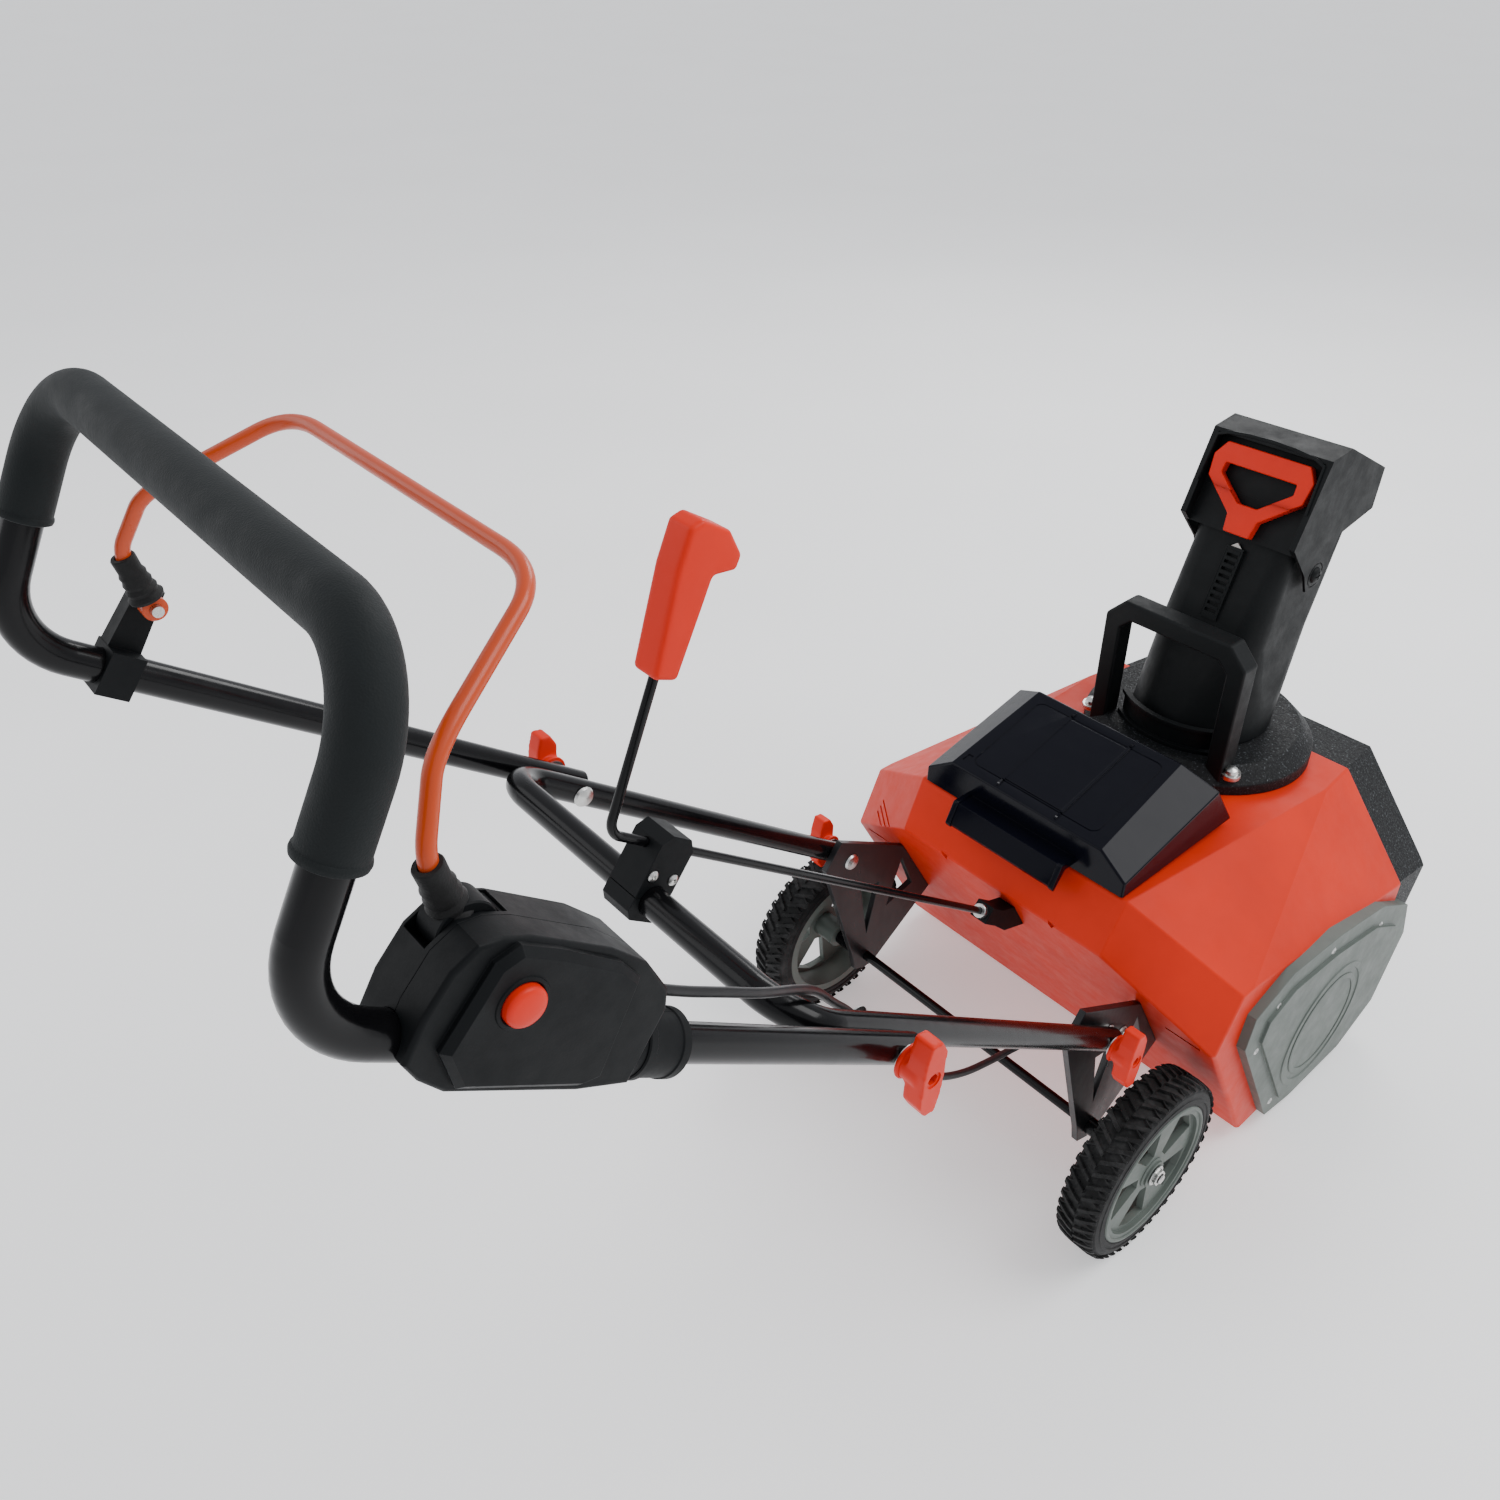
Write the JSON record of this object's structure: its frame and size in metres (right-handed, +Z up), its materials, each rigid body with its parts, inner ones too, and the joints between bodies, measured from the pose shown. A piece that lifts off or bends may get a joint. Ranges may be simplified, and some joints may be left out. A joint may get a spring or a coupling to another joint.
{
  "type": "snow blower",
  "caption": "Cordless walk-behind snow thrower with an auger scoop, turning chute, battery bay, wheels and folding handle.",
  "frame": {"origin": "on the ground under the middle of the scraper bar", "axes": "+Z up, the intake faces -Y, the operator stands at +Y and the operator's right is -X"},
  "size_m": [0.5555, 1.3555, 1.0365],
  "materials": {
    "housing_orange": "moulded, satin",
    "scoop_black": "moulded, fine texture",
    "chute_black": "moulded, satin",
    "cover_gray": "moulded, satin",
    "lid_black": "moulded, glossy",
    "tray_black": "moulded",
    "pack_dark": "moulded",
    "tube_black": "glossy powder coat",
    "bracket_black": "satin powder coat",
    "zinc": "zinc plated",
    "scraper_black": "moulded, worn",
    "tyre_black": "moulded tread",
    "paddle_rubber": "moulded",
    "disc_black": "painted",
    "foam_gray": "soft foam, matt",
    "switch_black": "moulded, satin",
    "button_orange": "moulded",
    "grip_orange": "moulded",
    "bail_brown": "coated, glossy",
    "boot_black": "moulded",
    "motor_dark": "painted",
    "gear_nylon": "moulded nylon",
    "belt_rubber": "ribbed",
    "pulley_alloy": "die cast",
    "lead_black": "smooth sheath"
  },
  "bodies": {
    "machine": {"auger_housing": "scoop_black", "main_housing": "housing_orange", "belt_cover": "cover_gray", "left_side_cover": "cover_gray", "scraper_bar": "scraper_black", "chute_base": "scoop_black", "carry_handle": "chute_black", "battery_tray": "tray_black", "battery_pack": "pack_dark", "lid_hinge_pin": "zinc", "axle": "tube_black", "axle_nuts": "zinc", "wheel_brackets": "bracket_black", "auger_bearings": "pulley_alloy", "motor": "motor_dark", "drive_belt": "belt_rubber", "lower_handle": "tube_black", "carriage_bolts": "zinc", "knob_washers": "zinc", "frame_bolts": "zinc", "lever_clamp": "switch_black", "lever_end_bearing": "switch_black", "chute_gearbox": "chute_black", "power_lead_lower": "lead_black"},
    "wheel_right": {"tyre_right": "tyre_black", "wheel_hub_right": "cover_gray"},
    "wheel_left": {"tyre_left": "tyre_black", "wheel_hub_left": "cover_gray"},
    "auger": {"auger_shaft": "zinc", "auger_paddles": "paddle_rubber", "auger_discs": "disc_black", "auger_pulley": "pulley_alloy"},
    "motor_rotor": {"motor_pulley": "pulley_alloy"},
    "lever": {"control_lever": "tube_black", "lever_grip": "grip_orange"},
    "drive_shaft": {"chute_drive_shaft": "zinc"},
    "chute_assembly": {"chute": "chute_black", "chute_ring_gear": "gear_nylon"},
    "pinion": {"chute_pinion": "gear_nylon"},
    "deflector": {"deflector_hood": "chute_black", "deflector_bolts": "chute_black"},
    "trigger": {"deflector_trigger": "button_orange"},
    "lid": {"battery_lid": "lid_black"},
    "handle_top": {"upper_handle": "tube_black", "foam_grip": "foam_gray", "switch_box_outer": "switch_black", "switch_box_inner": "switch_black", "switch_module": "tray_black", "bail_clip": "switch_black", "bail_pivot_pins": "zinc", "power_lead_upper": "lead_black"},
    "knob_lower_right": {"lower_knob_right": "grip_orange"},
    "knob_lower_left": {"lower_knob_left": "grip_orange"},
    "knob_fold_right": {"fold_knob_right": "grip_orange"},
    "knob_fold_left": {"fold_knob_left": "grip_orange"},
    "button": {"safety_button": "button_orange"},
    "bail_lever": {"bail": "bail_brown", "bail_boots": "boot_black"}
  },
  "joints": [
    {"name": "wheel_right_spin", "type": "hinge", "parent": "machine", "child": "wheel_right", "pos_m": [-0.243, 0.268, 0.111], "axis": [1, 0, 0], "continuous": true},
    {"name": "wheel_left_spin", "type": "hinge", "parent": "machine", "child": "wheel_left", "pos_m": [0.243, 0.268, 0.111], "axis": [1, 0, 0], "continuous": true},
    {"name": "auger_spin", "type": "hinge", "parent": "machine", "child": "auger", "pos_m": [0, -0.047, 0.13], "axis": [1, 0, 0], "continuous": true},
    {"name": "motor_spin", "type": "hinge", "parent": "machine", "child": "motor_rotor", "pos_m": [-0.2, 0.12, 0.235], "axis": [1, 0, 0], "continuous": true},
    {"name": "chute_turn", "type": "hinge", "parent": "machine", "child": "chute_assembly", "pos_m": [0, -0.131, 0.38], "axis": [0, 0, 1], "range_deg": [-90, 90]},
    {"name": "lever_turn", "type": "hinge", "parent": "machine", "child": "lever", "pos_m": [-0.01, 0.27865, 0.31873], "axis": [0, 0.7934, 0.6088], "range_deg": [-36, 36]},
    {"name": "drive_shaft_turn", "type": "hinge", "parent": "machine", "child": "drive_shaft", "pos_m": [-0.01, 0.224, 0.2895], "axis": [0, 0.9632, -0.2688], "range_deg": [-36, 36]},
    {"name": "pinion_turn", "type": "hinge", "parent": "machine", "child": "pinion", "pos_m": [0, -0.023, 0.38], "axis": [0, 0, 1], "range_deg": [-450, 450]},
    {"name": "deflector_tilt", "type": "hinge", "parent": "chute_assembly", "child": "deflector", "pos_m": [0, -0.19, 0.6], "axis": [1, 0, 0], "range_deg": [-30, 0]},
    {"name": "trigger_lift", "type": "slide", "parent": "deflector", "child": "trigger", "axis": [0, -0.4, 0.9165], "range_m": [0, 0.006], "stiffness_N_per_m": 500},
    {"name": "lid_hinge", "type": "hinge", "parent": "machine", "child": "lid", "pos_m": [0, 0.014, 0.397], "axis": [1, 0, 0], "range_deg": [0, 58]},
    {"name": "handle_fold", "type": "hinge", "parent": "machine", "child": "handle_top", "pos_m": [0, 0.65604, 0.5579], "axis": [1, 0, 0], "range_deg": [0, 110]},
    {"name": "knob_lower_right_turn", "type": "hinge", "parent": "machine", "child": "knob_lower_right", "pos_m": [-0.22, 0.303, 0.287], "axis": [1, 0, 0], "range_deg": [-360, 0]},
    {"name": "knob_lower_left_turn", "type": "hinge", "parent": "machine", "child": "knob_lower_left", "pos_m": [0.22, 0.303, 0.287], "axis": [1, 0, 0], "range_deg": [0, 360]},
    {"name": "knob_fold_right_turn", "type": "hinge", "parent": "machine", "child": "knob_fold_right", "pos_m": [-0.245, 0.65604, 0.5579], "axis": [1, 0, 0], "range_deg": [-360, 0]},
    {"name": "knob_fold_left_turn", "type": "hinge", "parent": "machine", "child": "knob_fold_left", "pos_m": [0.245, 0.65604, 0.5579], "axis": [1, 0, 0], "range_deg": [0, 360]},
    {"name": "button_press", "type": "slide", "parent": "handle_top", "child": "button", "axis": [1, 0, 0], "range_m": [0, 0.004], "stiffness_N_per_m": 500},
    {"name": "bail_squeeze", "type": "hinge", "parent": "handle_top", "child": "bail_lever", "pos_m": [0, 0.96193, 0.86068], "axis": [1, 0, 0], "range_deg": [-28, 0], "stiffness_Nm_per_rad": 0.8, "springref_deg": 51.57}
  ],
  "couplings": [
    {"joint": "motor_spin", "follows": "auger_spin", "ratio": 3.25},
    {"joint": "lever_turn", "follows": "chute_turn", "ratio": 0.4},
    {"joint": "drive_shaft_turn", "follows": "chute_turn", "ratio": 0.4},
    {"joint": "pinion_turn", "follows": "chute_turn", "ratio": -5}
  ]
}
